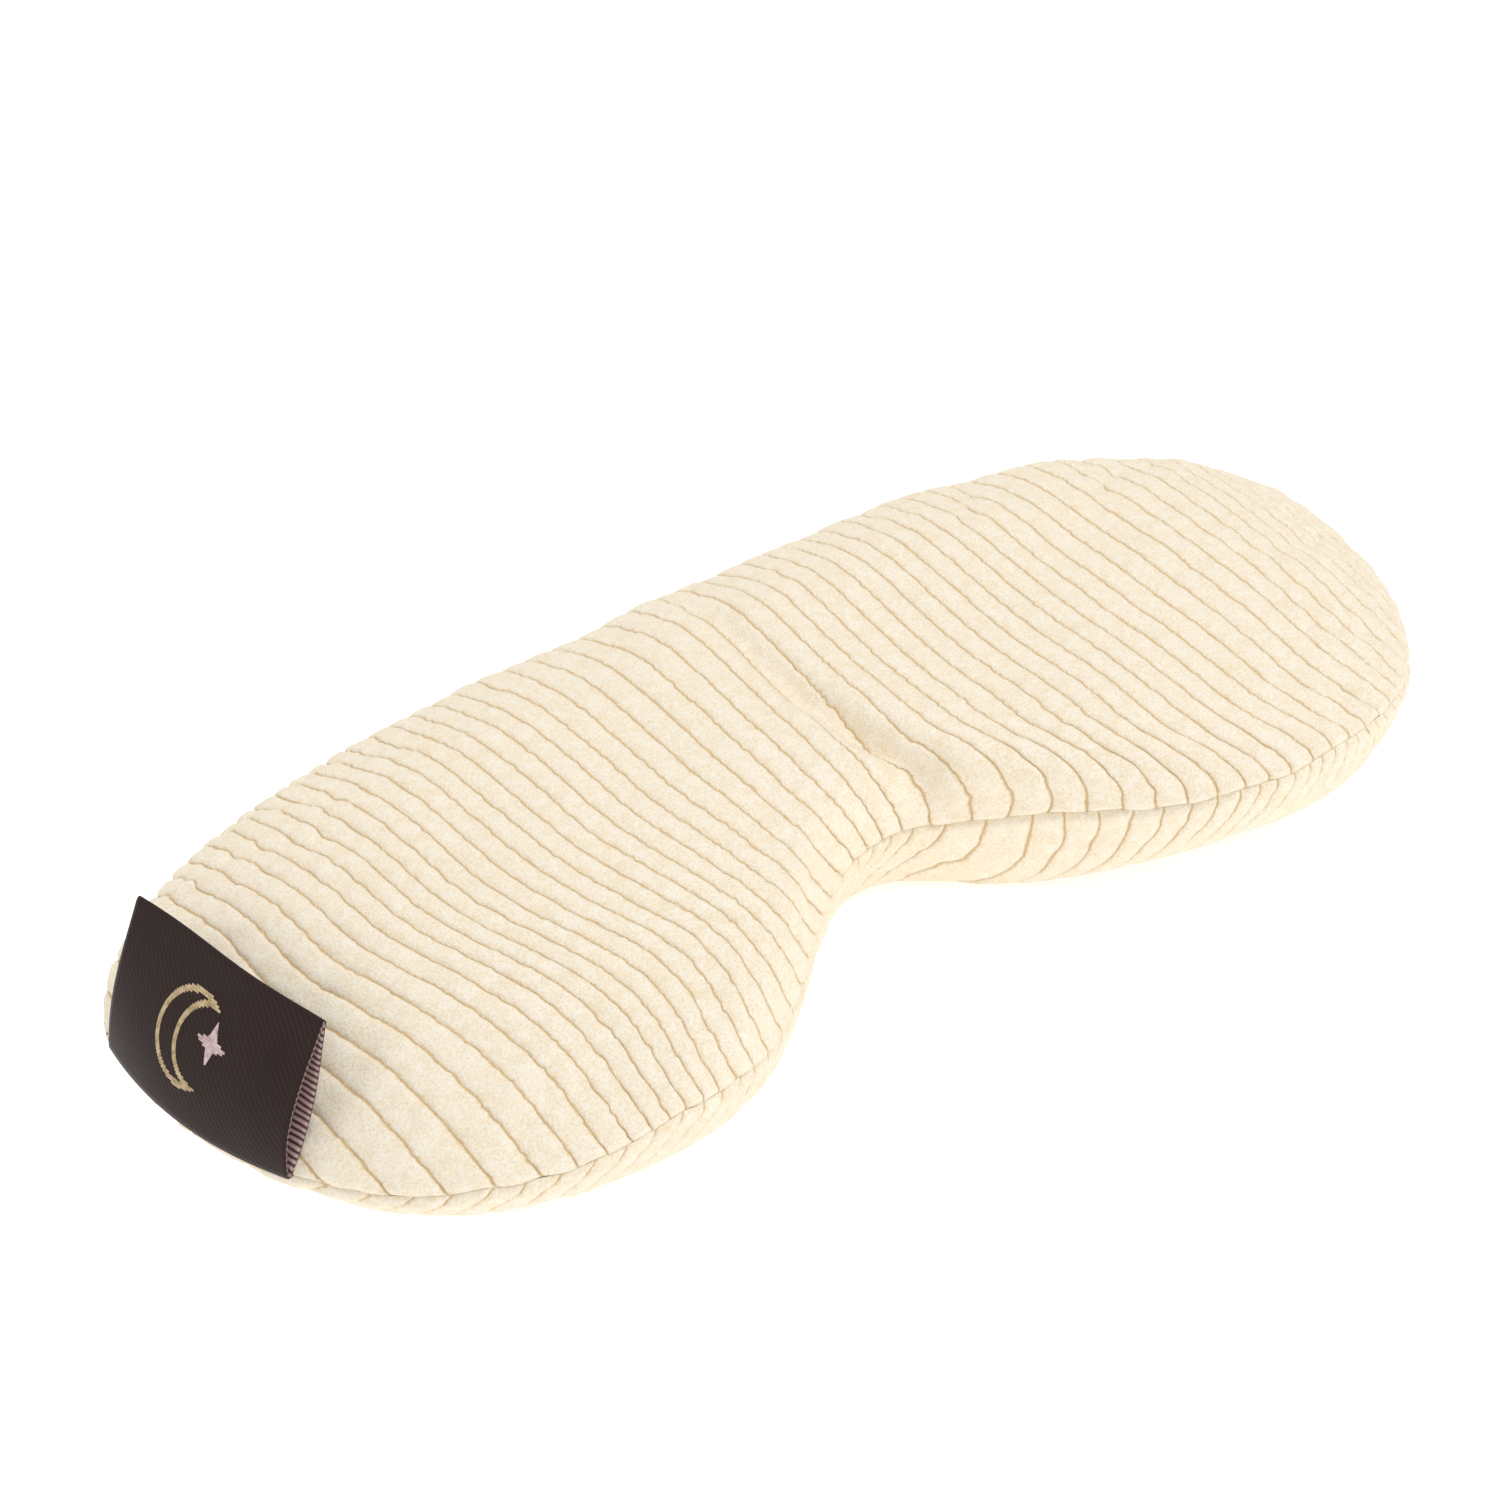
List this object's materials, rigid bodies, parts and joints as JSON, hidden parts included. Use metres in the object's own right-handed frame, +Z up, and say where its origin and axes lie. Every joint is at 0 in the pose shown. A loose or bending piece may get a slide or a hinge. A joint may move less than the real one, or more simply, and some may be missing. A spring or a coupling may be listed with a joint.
{
  "type": "eye pillow",
  "caption": "Seed-filled eye pillow of wide ribbed cord cloth in a sleep-mask outline, with a nose notch, sewn rim and a folded woven label.",
  "frame": {"origin": "under the middle of the bounding box, on the surface that the pillow rests on", "axes": "+Z up, X along the pillow with the label at -X, and the nose notch opening towards -Y"},
  "size_m": [0.2426, 0.108, 0.0402],
  "materials": {
    "cord_cloth": "cut cotton pile in wide ribs, cream",
    "cotton_bag": "plain unbleached cotton",
    "sewing_thread": "spun polyester thread, cream",
    "seeds": "loose linseed",
    "label_ribbon": "woven satin ribbon, dark brown",
    "beige_weft": "woven pattern thread, beige",
    "rose_weft": "woven pattern thread, pale rose"
  },
  "bodies": {
    "pillow": {"top_panel": "cord_cloth", "bottom_panel": "cord_cloth", "needle_thread": "sewing_thread", "bobbin_thread": "sewing_thread", "closing_stitches": "sewing_thread", "inner_bag_top": "cotton_bag", "inner_bag_bottom": "cotton_bag", "inner_bag_needle_thread": "sewing_thread", "inner_bag_bobbin_thread": "sewing_thread", "seed_filling": "seeds", "label_tails": "label_ribbon"},
    "label_flap": {"woven_label": "label_ribbon", "label_moon": "beige_weft", "label_star": "rose_weft"}
  },
  "joints": [
    {"name": "label_fold", "type": "hinge", "parent": "pillow", "child": "label_flap", "pos_m": [-0.1161, -0.00776, 0.02117], "axis": [0.2314, -0.9729, 0], "range_deg": [-16, 120], "stiffness_Nm_per_rad": 0.001}
  ]
}
